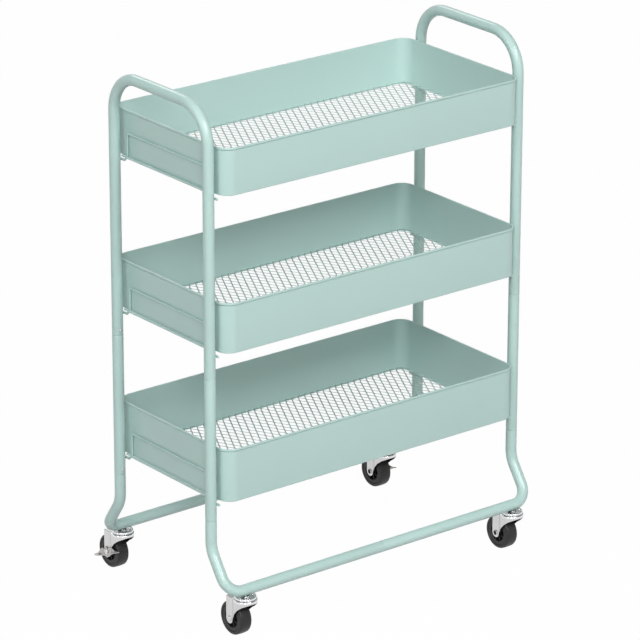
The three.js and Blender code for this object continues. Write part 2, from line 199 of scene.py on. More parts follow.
# %% Start a finish
def new_finish(name, color, roughness, metallic=0.0, specular=0.5):
    material = bpy.data.materials.new(name)
    material.use_nodes = True
    material.diffuse_color = (*color, 1)
    surface = material.node_tree.nodes["Principled BSDF"]
    surface.inputs["Base Color"].default_value = (*color, 1)
    surface.inputs["Roughness"].default_value = roughness
    surface.inputs["Metallic"].default_value = metallic
    surface.inputs["Specular IOR Level"].default_value = specular
    return material, Tree(material.node_tree), surface


def feed(tree, surface, name, value):
    tree.tree.links.new(value.socket, surface.inputs[name])


def noise(tree, place, scale, detail=2.0, roughness=0.5):
    values = {"Vector": place, "Scale": scale, "Detail": detail, "Roughness": roughness}
    return tree.add("ShaderNodeTexNoise", values)


def tint(tree, factor, low, high):
    values = {"Factor": factor, "A": (*low, 1), "B": (*high, 1)}
    return tree.add("ShaderNodeMix", values, data_type="RGBA", clamp_factor=True)


def bump(tree, height, strength, distance):
    return tree.add("ShaderNodeBump", {"Height": height, "Strength": strength, "Distance": distance})


# %% [markdown]
# ### Mint powder coat
# Powder coat is plastic melted onto steel: it flows, but not quite flat, which gives the skin
# of an orange at a scale of about a millimetre. The colour hardly varies. A glossy coat would
# mirror the studio in streaks, so the sheen here is broad and soft.

# %% Make the powder coat
COAT_LOW = (0.457, 0.632, 0.597)
COAT_HIGH = (0.484, 0.663, 0.626)
# The mesh floors get a darker copy of the coat: painted shade between the strands.
MESH_SHADE = 0.70


def make_powder_coat(name, tone):
    low, high = [tuple(channel * tone for channel in color) for color in (COAT_LOW, COAT_HIGH)]
    material, tree, surface = new_finish(name, high, 0.30, specular=0.6)
    place = tree.add("ShaderNodeTexCoord")["Object"]
    drift = noise(tree, place, 7.0, 3.0)
    peel = noise(tree, place, 650.0, 2.0, 0.6)
    feed(tree, surface, "Base Color", tint(tree, drift, low, high))
    feed(tree, surface, "Roughness", 0.25 + drift * 0.10)
    feed(tree, surface, "Normal", bump(tree, peel, 0.12, 0.0002))
    return material


powder_coat = make_powder_coat("mint powder coat", 1.0)
mesh_coat_painted_shade = make_powder_coat("mint powder coat, painted shade on mesh", MESH_SHADE)
print("made", powder_coat.name, "and", mesh_coat_painted_shade.name)

# %% [markdown]
# ### Zinc plate, chrome and black wheel
# The forks and levers are pressed steel with bright zinc plate, which is satin because the
# press leaves fine scratches down the sheet. Darker copies of the zinc are painted shade: on the
# levers, darker still on the nuts, pins and fork edges, and near black inside the forks. The
# swivel races are polished and mirror their surroundings. The wheels are one black moulding,
# whose gloss drifts with the dust on it.

# %% Make the metals
def make_zinc_plate(name, low, high):
    material, tree, surface = new_finish(name, high, 0.34, metallic=1.0)
    place = tree.add("ShaderNodeTexCoord")["Object"]
    stretched = tree.add("ShaderNodeMapping", {"Vector": place, "Scale": (1400, 1400, 60)})
    scratch = noise(tree, stretched, 1.0, 3.0, 0.7)
    cloud = noise(tree, place, 60.0, 3.0)
    feed(tree, surface, "Base Color", tint(tree, cloud, low, high))
    feed(tree, surface, "Roughness", 0.26 + cloud * 0.14 + scratch * 0.06)
    feed(tree, surface, "Normal", bump(tree, scratch, 0.08, 0.0001))
    return material


def make_chrome():
    material, tree, surface = new_finish("chrome plate", (0.80, 0.81, 0.82), 0.17, metallic=1.0)
    place = tree.add("ShaderNodeTexCoord")["Object"]
    smear = noise(tree, place, 90.0, 4.0, 0.6)
    feed(tree, surface, "Roughness", 0.20 + smear * 0.10)
    feed(tree, surface, "Base Color", tint(tree, smear, (0.76, 0.77, 0.78), (0.86, 0.86, 0.87)))
    return material


zinc_plate = make_zinc_plate("zinc plate", (0.60, 0.60, 0.60), (0.71, 0.71, 0.71))
# The next three are darker copies of the zinc: painted shade on levers, on nuts and fork edges, and inside
# forks.
lever_zinc_painted_shade = make_zinc_plate("zinc plate on levers, painted shade", (0.40, 0.39, 0.38), (0.52, 0.51, 0.50))
black_zinc_painted_shade = make_zinc_plate("black zinc, painted shade inside forks", (0.03, 0.03, 0.03), (0.06, 0.06, 0.06))
grey_zinc_painted_shade = make_zinc_plate("grey zinc, painted shade on nuts and fork edges", (0.26, 0.26, 0.27), (0.38, 0.38, 0.39))
chrome_plate = make_chrome()

# %% Make the black moulding
def make_black_wheel():
    material, tree, surface = new_finish("black moulding", (0.035, 0.035, 0.034), 0.5, specular=0.4)
    place = tree.add("ShaderNodeTexCoord")["Object"]
    grain = noise(tree, place, 900.0, 2.0, 0.6)
    dust = noise(tree, place, 110.0, 4.0, 0.65)
    feed(tree, surface, "Base Color", tint(tree, dust, (0.009, 0.009, 0.009), (0.019, 0.019, 0.018)))
    feed(tree, surface, "Roughness", 0.36 + dust * 0.20)
    feed(tree, surface, "Normal", bump(tree, grain, 0.10, 0.0001))
    return material


black_wheel = make_black_wheel()
print("finishes:", [m.name for m in (powder_coat, zinc_plate, chrome_plate, black_wheel)])

# %% [markdown]
# ## Shaping helpers
# Three shapes cover nearly every piece: a body turned about an axis, a surface given as rows
# of points, and a closed section carried along a path. Each helper ends in the same place: a
# mesh with its doubles merged, its faces turned outwards and its object at the origin.

# %% Turn rows of points into a clean mesh
def turn_faces_out(mesh, merge=False):
    work = bmesh.new()
    work.from_mesh(mesh)
    if merge:
        bmesh.ops.remove_doubles(work, verts=work.verts, dist=0.001 * MM)
    bmesh.ops.recalc_face_normals(work, faces=work.faces)
    work.to_mesh(mesh)
    work.free()


def finish_mesh(name, points, faces, finish, sharp_degrees=35.0):
    mesh = bpy.data.meshes.new(name)
    mesh.from_pydata([tuple(p) for p in points], [], faces)
    turn_faces_out(mesh, merge=True)
    mesh.materials.append(finish)
    mesh.shade_smooth()
    mesh.set_sharp_from_angle(angle=math.radians(sharp_degrees))
    return add_object(name, mesh)


def evaluated_mesh(thing):
    """The mesh of an object as its modifiers leave it."""
    evaluated = thing.evaluated_get(bpy.context.evaluated_depsgraph_get())
    return bpy.data.meshes.new_from_object(evaluated)


def grid_faces(rows, columns, close_rows=False, close_columns=False):
    faces = []
    for row in range(rows if close_rows else rows - 1):
        for column in range(columns if close_columns else columns - 1):
            here, below = row * columns, (row + 1) % rows * columns
            beside = (column + 1) % columns
            faces.append((here + column, here + beside, below + beside, below + column))
    return faces


# %% Turn a profile about an axis
def turned_points(profile, centre, axis, segments):
    side = axis.orthogonal().normalized()
    other = axis.cross(side)
    points = []
    for step in range(segments):
        angle = 2 * math.pi * step / segments
        spoke = side * math.cos(angle) + other * math.sin(angle)
        points += [centre + axis * along + spoke * radius for radius, along in profile]
    return points


def turned(name, profile, centre, axis, finish, segments=64, sharp_degrees=35.0):
    points = turned_points(profile, centre, axis, segments)
    faces = grid_faces(segments, len(profile), close_rows=True, close_columns=True)
    return finish_mesh(name, points, faces, finish, sharp_degrees)


# %% Lines with round bends, and arcs
def arc(centre_u, centre_v, radius, start, end, steps):
    angles = [math.radians(start + (end - start) * i / steps) for i in range(steps + 1)]
    return [(centre_u + radius * math.cos(a), centre_v + radius * math.sin(a)) for a in angles]


def bend_points(before, corner, after, radius, steps):
    incoming = (corner - before).normalized()
    outgoing = (after - corner).normalized()
    turn_angle = incoming.angle(outgoing)
    axis = incoming.cross(outgoing).normalized()
    start = corner - incoming * radius * math.tan(turn_angle / 2)
    centre = start + axis.cross(incoming) * radius
    spokes = [Matrix.Rotation(turn_angle * i / steps, 3, axis) for i in range(steps + 1)]
    return [centre + spoke @ (start - centre) for spoke in spokes]


def bent_line(corners, radii, steps):
    line = [corners[0]]
    for i, radius in enumerate(radii):
        line += bend_points(corners[i], corners[i + 1], corners[i + 2], radius, steps)
    return line + [corners[-1]]


# %% [markdown]
# ## A section that follows a path
# Tube and wire are the same idea at two sizes, so one geometry tree makes both. It takes the
# path as a mesh of edges, turns it into a curve and carries a circle along it. A number stored
# on each point, its swell, lets the ends of a tube draw in, which is what makes a seam visible.

# %% Helpers for geometry trees
def new_geometry_tree(name, inputs):
    group = bpy.data.node_groups.new(name, "GeometryNodeTree")
    group.interface.new_socket("Geometry", in_out="INPUT", socket_type="NodeSocketGeometry")
    for label, (kind, default) in inputs.items():
        socket = group.interface.new_socket(label, in_out="INPUT", socket_type="NodeSocket" + kind)
        if default is not None:
            socket.default_value = default
    group.interface.new_socket("Geometry", in_out="OUTPUT", socket_type="NodeSocketGeometry")
    tree = Tree(group)
    return tree, tree.add("NodeGroupInput")


def end_tree(tree, geometry, finish):
    real = tree.add("GeometryNodeRealizeInstances", {"Geometry": geometry})
    smooth = tree.add("GeometryNodeSetShadeSmooth", {"Geometry": real})
    painted = tree.add("GeometryNodeSetMaterial", {"Geometry": smooth, "Material": finish})
    tree.tree.links.new(painted.socket, tree.tree.nodes.new("NodeGroupOutput").inputs[0])


# %% Run a geometry tree once and keep the plain mesh
GROWN_SHARP = math.radians(40)


def grown(name, tree, base_mesh, values):
    seed = add_object(name + ".seed", base_mesh)
    modifier = seed.modifiers.new(name, "NODES")
    modifier.node_group = tree.tree
    for item in tree.tree.interface.items_tree:
        if item.in_out == "INPUT" and item.name in values:
            modifier[item.identifier] = values[item.name]
    mesh = evaluated_mesh(seed)
    bpy.data.objects.remove(seed)
    turn_faces_out(mesh)
    mesh.set_sharp_from_angle(angle=GROWN_SHARP)
    mesh.name = name
    return add_object(name, mesh)


def path_mesh(line, swells=None):
    edges = [(i, i + 1) for i in range(len(line) - 1)]
    mesh = bpy.data.meshes.new("path")
    mesh.from_pydata([tuple(p) for p in line], edges, [])
    swell = mesh.attributes.new("swell", "FLOAT", "POINT")
    swell.data.foreach_set("value", swells or [1.0] * len(line))
    return mesh


# %% The tree for tube and wire
def make_path_tree():
    inputs = {"Radius": ("Float", 0.008), "Sides": ("Int", 48), "Finish": ("Material", None)}
    tree, given = new_geometry_tree("round section along a path", inputs)
    curve = tree.add("GeometryNodeMeshToCurve", {"Mesh": given["Geometry"]})
    circle_values = {"Resolution": given["Sides"], "Radius": given["Radius"]}
    section = tree.add("GeometryNodeCurvePrimitiveCircle", circle_values)
    swell = tree.add("GeometryNodeInputNamedAttribute", {"Name": "swell"}, data_type="FLOAT")
    values = {"Curve": curve, "Profile Curve": section, "Scale": swell, "Fill Caps": True}
    end_tree(tree, tree.add("GeometryNodeCurveToMesh", values), given["Finish"])
    return tree


path_tree = make_path_tree()
print("path tree has", len(path_tree.tree.nodes), "nodes")

# %% [markdown]
# ## The tube frame
# The real frame is ten bent tubes that plug into each other. Each tube is drawn as its own
# piece, with a small rounding at its ends, because two roundings that meet are exactly the
# fine dark line that marks a seam on the real cart.

# %% Draw the tubes
SEAM_ROUNDING = ((0.0, 0.90), (0.15 * MM, 0.955), (0.45 * MM, 0.99), (0.9 * MM, 1.0))
BEND_STEPS = 16
HANDLE_BEND = 54 * MM
KNEE_BEND = 42 * MM
TOE_BEND = 25 * MM
KNEE_RISE = 56 * MM


def with_round_ends(line):
    start_way = (line[1] - line[0]).normalized()
    end_way = (line[-2] - line[-1]).normalized()
    start = [(line[0] + start_way * inset, swell) for inset, swell in SEAM_ROUNDING]
    end = [(line[-1] + end_way * inset, swell) for inset, swell in reversed(SEAM_ROUNDING)]
    both = start + [(p, 1.0) for p in line[1:-1]] + end
    return [p for p, _ in both], [swell for _, swell in both]


def draw_tube(name, corners, radii, node):
    line, swells = with_round_ends(bent_line(corners, radii, BEND_STEPS))
    values = {"Radius": TUBE_R, "Sides": 48, "Finish": powder_coat}
    piece = grown(name, path_tree, path_mesh(line, swells), values)
    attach(piece, "frame")
    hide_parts(node)


for side, sx in SIDES:
    x = sx * POST_X
    front_y = MID_Y - POST_Y
    back_y = MID_Y + POST_Y
    places = ((front_y, UPPER_SEAM), (front_y, HANDLE_Z), (back_y, HANDLE_Z), (back_y, UPPER_SEAM))
    loop = [Vector((x, y, z)) for y, z in places]
    draw_tube(f"handle_tube_{side}", loop, [HANDLE_BEND, HANDLE_BEND], f"handle_{side}")
    for end, sy in ENDS:
        y = MID_Y + sy * POST_Y
        rail_y = MID_Y + sy * RAIL_Y
        post = [Vector((x, y, LOWER_SEAM)), Vector((x, y, UPPER_SEAM))]
        draw_tube(f"post_tube_{side}_{end}", post, [], f"lower_post_{side}_{end}")
        places = ((x, y, LOWER_SEAM), (x, y, RAIL_Z + KNEE_RISE), (x, rail_y, RAIL_Z))
        leg = [Vector(place) for place in (*places, (0, rail_y, RAIL_Z))]
        draw_tube(f"leg_tube_{side}_{end}", leg, [KNEE_BEND, TOE_BEND], f"base_leg_{side}_{end}")
print("tubes drawn")

# %% [markdown]
# ## Seam screws
# Eight small pan-head screws hold the seams. They are the same screw in eight places, so the
# screw is turned once, with a cross cut into its head by two boxes, and a tree
# sets a copy on each point and leans it along the arrow stored there.

# %% The tree that sets copies on points
def make_copies_tree():
    inputs = {"Copy": ("Object", None), "Finish": ("Material", None)}
    tree, given = new_geometry_tree("copies on points", inputs)
    copy = tree.add("GeometryNodeObjectInfo", {"Object": given["Copy"]})["Geometry"]
    arrow = tree.add("GeometryNodeInputNamedAttribute", {"Name": "arrow"}, data_type="FLOAT_VECTOR")
    turn_to = tree.add("FunctionNodeAlignRotationToVector", {"Vector": arrow}, axis="Z")
    points = tree.add("GeometryNodeMeshToPoints", {"Mesh": given["Geometry"]})
    values = {"Points": points, "Instance": copy, "Rotation": turn_to}
    end_tree(tree, tree.add("GeometryNodeInstanceOnPoints", values), given["Finish"])
    return tree


def arrow_mesh(places):
    mesh = bpy.data.meshes.new("places")
    mesh.from_pydata([tuple(place) for place, _ in places], [], [])
    arrow = mesh.attributes.new("arrow", "FLOAT_VECTOR", "POINT")
    arrow.data.foreach_set("vector", [v for _, way in places for v in way])
    return mesh


copies_tree = make_copies_tree()

# %% Turn one screw, then set eight
SHANK_R = 1.5 * MM
SHANK_LONG = 2 * MM
HEAD_R = 2.2 * MM
HEAD_TALL = 1.2 * MM
CROSS_R = 1.3 * MM
CROSS_HALF = 0.35 * MM
CROSS_DEEP = 0.9 * MM


def screw_head():
    angles = [math.radians(degrees) for degrees in range(0, 75, 12)]
    dome = [(HEAD_R * math.cos(a), HEAD_TALL * math.sin(a)) for a in angles]
    shank = [(0.0, -SHANK_LONG), (SHANK_R, -SHANK_LONG), (SHANK_R, 0.0)]
    profile = shank + dome + [(CROSS_R, HEAD_TALL), (0.0, HEAD_TALL)]
    head = turned("screw head", profile, Vector(), UP, zinc_plate, 32)
    for long_x, long_y in ((CROSS_R, CROSS_HALF), (CROSS_HALF, CROSS_R)):
        bpy.ops.mesh.primitive_cube_add(size=2)
        cutter = bpy.context.object
        cutter.scale = (long_x, long_y, CROSS_DEEP)
        cutter.location.z = HEAD_TALL
        cut = head.modifiers.new("cross", "BOOLEAN")
        cut.operation = "DIFFERENCE"
        cut.object = cutter
        head.data = evaluated_mesh(head)
        head.modifiers.clear()
        bpy.data.objects.remove(cutter)
    return head


screw = screw_head()
screw_places = []
screw_nodes = []
for side, sx in SIDES:
    for end, sy in ENDS:
        for level in ("upper", "lower"):
            node = f"{level}_screw_{side}_{end}"
            low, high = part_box(node)
            middle = (low + high) / 2
            seat = MID_Y + sy * (POST_Y - TUBE_R)
            screw_places.append((Vector((middle.x, seat, middle.z)), Vector((0, -sy, 0))))
            screw_nodes.append(node)
screws = grown("seam_screws", copies_tree, arrow_mesh(screw_places), {"Copy": screw, "Finish": zinc_plate})
bpy.data.objects.remove(screw)
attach(screws, "frame")
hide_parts(*screw_nodes)
print("screws set:", len(screw_places))

# %% [markdown]
# ## Tray walls
# Each tray is one strip of sheet: a hem rolled outward at the rim over a fine groove, a straight
# wall with round corners, a small radius at the foot and a narrow flange that carries the mesh.
# That is one closed section taken round a rounded rectangle, so the whole wall is one loft.

# %% Loft the tray walls
SHEET = 1.0 * MM
HEM_OUT = 1.2 * MM
HEM_TALL = 2.9 * MM
HEM_SHADOW = 0.75 * MM  # depth of the roll's groove under the hem
HEM_FOOT_R = 0.4 * MM
HEM_TOP_R = 0.75 * MM
MEASURED_HEM = 1.2 * MM  # how far the measured wall's plain hem stands out
TRAY_CORNER = 20 * MM
CORNER_STEPS = 16
FOOT_R = 1.3 * MM
FLANGE = 4.2 * MM


def wall_section(bottom, rim):
    """The sheet's outline as (how far out, height): up the outside, then down the inside."""
    outside = [(-FLANGE, bottom + 0.15 * MM), (-FLANGE + 0.2 * MM, bottom)]
    outside += arc(-FOOT_R, bottom + FOOT_R, FOOT_R, -90, 0, 6)
    hem_foot = rim - HEM_TALL
    groove_lip = hem_foot - 1.1 * MM
    groove_low = hem_foot - 0.8 * MM
    groove_top = hem_foot + 0.3 * MM
    hem = [(0.0, groove_lip), (-HEM_SHADOW, groove_low), (-HEM_SHADOW, groove_top)]
    hem += arc(HEM_OUT - HEM_FOOT_R, hem_foot + HEM_FOOT_R, HEM_FOOT_R, -90, 0, 5)
    top_u = HEM_OUT - HEM_TOP_R
    hem += arc(top_u, rim - HEM_TOP_R, HEM_TOP_R, 0, 90, 5)
    inside = arc(-SHEET + HEM_TOP_R, rim - HEM_TOP_R, HEM_TOP_R, 90, 180, 5)
    inner_r = FOOT_R - SHEET
    inside += arc(-SHEET - inner_r, bottom + SHEET + inner_r, inner_r, 0, -90, 5)
    flange_end = [(-FLANGE + 0.2 * MM, bottom + SHEET), (-FLANGE, bottom + SHEET - 0.15 * MM)]
    return outside + hem + inside + flange_end


def corner_posts(half_x, half_y, radius, steps):
    """Places round a rounded rectangle, each with its outward direction."""
    posts = []
    for quarter, (cx, cy) in enumerate(((1, 1), (-1, 1), (-1, -1), (1, -1))):
        for i in range(steps + 1):
            angle = math.pi / 2 * (quarter + i / steps)
            way = Vector((math.cos(angle), math.sin(angle), 0))
            posts.append((Vector((cx * (half_x - radius), cy * (half_y - radius), 0)) + way * radius, way))
    return posts


wall_low, wall_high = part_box("top_tray_wall")
HALF_X = (wall_high.x - wall_low.x) / 2 - MEASURED_HEM
HALF_Y = (wall_high.y - wall_low.y) / 2 - MEASURED_HEM
for tier in TIERS:
    low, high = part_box(f"{tier}_tray_wall")
    section = wall_section(low.z, high.z)
    posts = corner_posts(HALF_X, HALF_Y, TRAY_CORNER, CORNER_STEPS)
    points = []
    for place, way in posts:
        points += [Vector((0, MID_Y, height)) + place + way * out for out, height in section]
    faces = grid_faces(len(posts), len(section), close_rows=True, close_columns=True)
    wall = finish_mesh(f"{tier}_tray_sides", points, faces, powder_coat, 50)
    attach(wall, "frame")
    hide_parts(f"{tier}_tray_wall")
    print(wall.name, "faces:", len(wall.data.polygons))

# %% [markdown]
# ## Expanded-metal floors
# Expanded metal is slit sheet pulled open. Every strand zigzags between its two neighbours and
# is fused to them at the knuckles, and it leans a little, because the pull twists it. The tree
# makes one row of points for each strand, bends it by its place in the row, holds it inside the
# tray's outline and carries a flat leaning section along it.

# %% The tree for an expanded-metal sheet
STRAND_OVERLAP = 0.46


def make_mesh_floor_tree():
    inputs = {
        "Half X": ("Float", 0.25), "Half Y": ("Float", 0.12), "Corner": ("Float", 0.019),
        "Short Way": ("Float", 0.0115), "Long Way": ("Float", 0.0192), "Knuckle": ("Float", 0.0024),
        "Width": ("Float", 0.0018), "Thickness": ("Float", 0.0008), "Lean": ("Float", 0.4),
        "Height": ("Float", 0.0), "Middle Y": ("Float", 0.0), "Finish": ("Material", None),
    }
    tree, given = new_geometry_tree("expanded metal", inputs)
    half_x, half_y, corner = given["Half X"], given["Half Y"], given["Corner"]
    spacing = given["Short Way"] / 2
    strands = (half_x * 2 / spacing).math("FLOOR", half_x * 2 / spacing) + 1
    rows = (half_y * 2 / given["Long Way"]).math("CEIL", half_y * 2 / given["Long Way"]) * 4 + 4
    strand = tree.add("GeometryNodeMeshLine", {"Count": rows, "Offset": (0, 0, 0)}, mode="OFFSET")
    starts = tree.add("GeometryNodeMeshLine", {"Count": strands, "Offset": (0, 0, 0)}, mode="OFFSET")
    copies = tree.add("GeometryNodeInstanceOnPoints", {"Points": starts, "Instance": strand})
    cloth = tree.add("GeometryNodeRealizeInstances", {"Geometry": copies})
    index = tree.add("GeometryNodeInputIndex")
    number = index.math("FLOOR", (index + 0.5) / rows)
    step = index - number * rows
    beat = step.math("FLOORED_MODULO", step, 4)
    odd = number.math("FLOORED_MODULO", number, 2)
    second_half = beat.math("GREATER_THAN", beat, 1.5)
    along = (step - beat) / 4 * given["Long Way"] + second_half * given["Long Way"] / 2
    along = along + beat.math("FLOORED_MODULO", beat, 2) * given["Knuckle"]
    y = along - (rows / 4) * given["Long Way"] / 2
    swing = (second_half * 2 - 1) * (odd * 2 - 1)
    reach = spacing / 2 - given["Width"] * STRAND_OVERLAP
    x = (number - (strands - 1) / 2) * spacing + swing * reach
    lift = swing * given["Width"] * 0.5 * given["Lean"].math("SINE", given["Lean"])
    x_in = x.held_within(half_x)
    into_corner = x_in.math("ABSOLUTE", x_in) - (half_x - corner)
    into_corner = into_corner.math("MAXIMUM", into_corner, 0)
    drop = corner - into_corner.math("SQRT", corner * corner - into_corner * into_corner)
    limit = half_y - drop
    y_in = y.held_within(limit)
    place_values = {"X": x_in, "Y": y_in + given["Middle Y"], "Z": lift + given["Height"]}
    place = tree.add("ShaderNodeCombineXYZ", place_values)
    bent = tree.add("GeometryNodeSetPosition", {"Geometry": cloth, "Position": place})
    merge_values = {"Geometry": bent, "Distance": 0.2 * MM}
    merged = tree.add("GeometryNodeMergeByDistance", merge_values, mode="CONNECTED")
    curve = tree.add("GeometryNodeMeshToCurve", {"Mesh": merged})
    upright = tree.add("GeometryNodeSetCurveNormal", {"Curve": curve})
    leaning = tree.add("GeometryNodeSetCurveTilt", {"Curve": upright, "Tilt": given["Lean"]})
    section_values = {"Width": given["Width"], "Height": given["Thickness"]}
    section = tree.add("GeometryNodeCurvePrimitiveQuadrilateral", section_values)
    strip_values = {"Curve": leaning, "Profile Curve": section, "Fill Caps": True}
    end_tree(tree, tree.add("GeometryNodeCurveToMesh", strip_values), given["Finish"])
    return tree


mesh_tree = make_mesh_floor_tree()
print("expanded-metal tree has", len(mesh_tree.tree.nodes), "nodes")

# %% Lay the three mesh floors
MESH_PLAY = 1.2 * MM
SHORT_WAY = 11.5 * MM
LONG_WAY = 21.7 * MM
KNUCKLE = 2.7 * MM
STRAND_WIDE = 1.8 * MM
STRAND_THICK = 0.38 * MM
STRAND_LEAN = math.radians(15)
for tier in TIERS:
    low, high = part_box(f"{tier}_tray_floor")
    # The mesh takes the darker coat, painted shade between its strands.
    values = {
        "Half X": (high.x - low.x) / 2 - MESH_PLAY, "Half Y": (high.y - low.y) / 2 - MESH_PLAY,
        "Corner": TRAY_CORNER - MESH_PLAY - SHEET, "Short Way": SHORT_WAY, "Long Way": LONG_WAY,
        "Knuckle": KNUCKLE, "Width": STRAND_WIDE, "Thickness": STRAND_THICK, "Lean": STRAND_LEAN,
        "Height": (low.z + high.z) / 2, "Middle Y": MID_Y, "Finish": mesh_coat_painted_shade,
    }
    base = bpy.data.meshes.new("base")
    mesh_floor = grown(f"{tier}_mesh_floor", mesh_tree, base, values)
    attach(mesh_floor, "frame")
    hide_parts(f"{tier}_tray_floor")
    print(mesh_floor.name, "faces:", len(mesh_floor.data.polygons))

# %% [markdown]
# ## Wire brackets and crossbars
# A wire loop is spot-welded to each end of a tray, and its feet rest on a wire that runs from
# post to post. Both are the tube's tree again with a smaller radius. The weld beads are what a
# plain wire lacks: small lumps where two wires touch, each a little different in size.

# %% Bend the wires
WIRE_R = 1.5 * MM
CROSSBAR_R = 1.8 * MM
CROSSBAR_LIFT = 0.3 * MM
WIRE_BEND = 4 * MM
BRACKET_FOOT = 13 * MM
CROSSBAR_FLAT = 93 * MM
CROSSBAR_BEND = 3 * MM


def draw_wire(name, x, half, radius, bend, node):
    """A wire in the plane at x, from its front half as (how far from the middle, height)."""
    corners = [Vector((x, MID_Y - y, z)) for y, z in half]
    corners += [Vector((x, MID_Y + y, z)) for y, z in reversed(half)]
    line = bent_line(corners, [bend] * (len(corners) - 2), 8)
    values = {"Radius": radius, "Sides": 16, "Finish": powder_coat}
    wire = grown(name, path_tree, path_mesh(line), values)
    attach(wire, "frame")
    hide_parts(node)


weld_places = []
for tier in TIERS:
    for side, sx in SIDES:
        low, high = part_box(f"{tier}_tray_bracket_{side}")
        bar_low, bar_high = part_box(f"{tier}_tray_crossbar_{side}")
        x = (low.x + high.x) / 2
        bar_x = (bar_low.x + bar_high.x) / 2
        down, level = bar_low.z + WIRE_R, bar_high.z - WIRE_R + CROSSBAR_LIFT
        foot, top = level, high.z - WIRE_R
        reach = (high.y - low.y) / 2
        leg_y = reach - BRACKET_FOOT
        name, node = f"{tier}_bracket_wire_{side}", f"{tier}_tray_bracket_{side}"
        half = [(reach, foot), (leg_y, foot), (leg_y, top)]
        draw_wire(name, x, half, WIRE_R, WIRE_BEND, node)
        name, node = f"{tier}_crossbar_wire_{side}", f"{tier}_tray_crossbar_{side}"
        end_y = (bar_high.y - bar_low.y) / 2
        half = [(end_y, down), (CROSSBAR_FLAT + (level - down), down), (CROSSBAR_FLAT, level)]
        draw_wire(name, bar_x, half, CROSSBAR_R, CROSSBAR_BEND, node)
        outward = Vector((sx, 0, 0))
        for sy in (-1, 1):
            for y in (leg_y + 1.5 * WIRE_R, reach - 1.5 * WIRE_R):
                weld_places.append((Vector((x, MID_Y + sy * y, (foot + level) / 2)), outward))
            weld_places.append((Vector((x + sx * WIRE_R, MID_Y + sy * POST_Y, down)), outward))
print("welds wanted:", len(weld_places))

# %% The tree for weld beads
def make_weld_tree():
    inputs = {
        "Bead": ("Float", 0.002), "Uneven": ("Float", 0.3),
        "Seed": ("Int", 3), "Finish": ("Material", None),
    }
    tree, given = new_geometry_tree("weld beads", inputs)
    bead = tree.add("GeometryNodeMeshIcoSphere", {"Radius": given["Bead"], "Subdivisions": 2})
    low, high = 1 - given["Uneven"], 1 + given["Uneven"]
    wobble = {"Min": low, "Max": high, "Seed": given["Seed"]}
    size = tree.add("FunctionNodeRandomValue", wobble, data_type="FLOAT")
    points = tree.add("GeometryNodeMeshToPoints", {"Mesh": given["Geometry"]})
    stretch = tree.add("ShaderNodeCombineXYZ", {"X": size * 0.55, "Y": size * 1.25, "Z": size * 0.9})
    values = {"Points": points, "Instance": bead, "Scale": stretch}
    end_tree(tree, tree.add("GeometryNodeInstanceOnPoints", values), given["Finish"])
    return tree


weld_values = {"Bead": 1.7 * MM, "Finish": powder_coat}
welds = grown("wire_welds", make_weld_tree(), arrow_mesh(weld_places), weld_values)
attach(welds, "frame")
print("weld faces:", len(welds.data.polygons))

# %% [markdown]
# ## Casters
# A caster is a black wheel in a pressed steel fork that turns under a chromed race. The fork
# could be cut from a block, but it is one sheet: two straight legs whose front edges flare into
# a round crown. So it is drawn as a sheet, station by station round the crown, and only then
# given its thickness. A narrow pressed line parts the leg from the flare; its faces, the inside
# of the sheet and its cut edges are coloured dark as painted shade.

# %% Read the caster's own measures
def caster_box(piece, side, end):
    low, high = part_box(f"caster_{piece}_{side}_{end}")
    return low, high, (low + high) / 2


cup_low, cup_high, cup_middle = caster_box("cup", "left", "front")
wheel_low, wheel_high, wheel_middle = caster_box("wheel", "left", "front")
fork_low, fork_high, _ = caster_box("fork", "left", "front")
CUP_R = (cup_high.x - cup_low.x) / 2
CUP_Z = cup_low.z
WHEEL_R = wheel_middle.z
WHEEL_HALF = (wheel_high.x - wheel_low.x) / 2
TRAIL = wheel_middle.y - cup_middle.y
CROWN_R = (fork_high.x - fork_low.x) / 2
CROWN_TOP = fork_high.z
LEG_X = 12.0 * MM
LEG_THICK = 1.3 * MM
LEG_HALF = 7.0 * MM
print(f"wheel {WHEEL_R:.4f}, trail {TRAIL:.4f}, crown {CROWN_R:.4f}, cup {CUP_R:.4f}")

# %% Draw the fork as a folded sheet
CREASE_Y = TRAIL - LEG_HALF
SHELL_R = CROWN_R - 0.6 * MM
SHELL_TOP = CROWN_TOP - 1.7 * MM
FOLD_R = 1.8 * MM
PRESS_DEEP = 0.8 * MM
PRESS_HALF = 0.6 * MM
FRONT_EDGE_Z = SHELL_TOP - 2.6 * MM
ROUND_Y = 8 * MM
FLARE_AT_FOOT = 0.6
FLARE_RISE = 1.6
EDGE_PULLS = ((CREASE_Y, 32.5 * MM), (5 * MM, 40.5 * MM), (-9 * MM, 51.8 * MM))


def on_curve(t, knots):
    """A place on the smooth curve that four knots pull, at a share t of its way."""
    weights = (1 - t) ** 3, 3 * t * (1 - t) ** 2, 3 * t * t * (1 - t), t ** 3
    return [sum(weight * knot[i] for weight, knot in zip(weights, knots)) for i in (0, 1)]


def lower_edge(y):
    """Height of the sheet's lower edge at a place along the caster, seen from the side."""
    if y >= CREASE_Y:
        reach = min(abs(y - TRAIL), LEG_HALF)
        return WHEEL_R - math.sqrt(LEG_HALF ** 2 - reach ** 2)
    knots = [(CREASE_Y, WHEEL_R), *EDGE_PULLS]
    if y > knots[3][0]:
        near, far = 0.0, 1.0
        for _ in range(40):
            t = (near + far) / 2
            near, far = (t, far) if on_curve(t, knots)[0] > y else (near, t)
        return on_curve(near, knots)[1]
    share = min(1.0, (knots[3][0] - y) / (knots[3][0] + SHELL_R))
    return knots[3][1] + (FRONT_EDGE_Z - knots[3][1]) * share


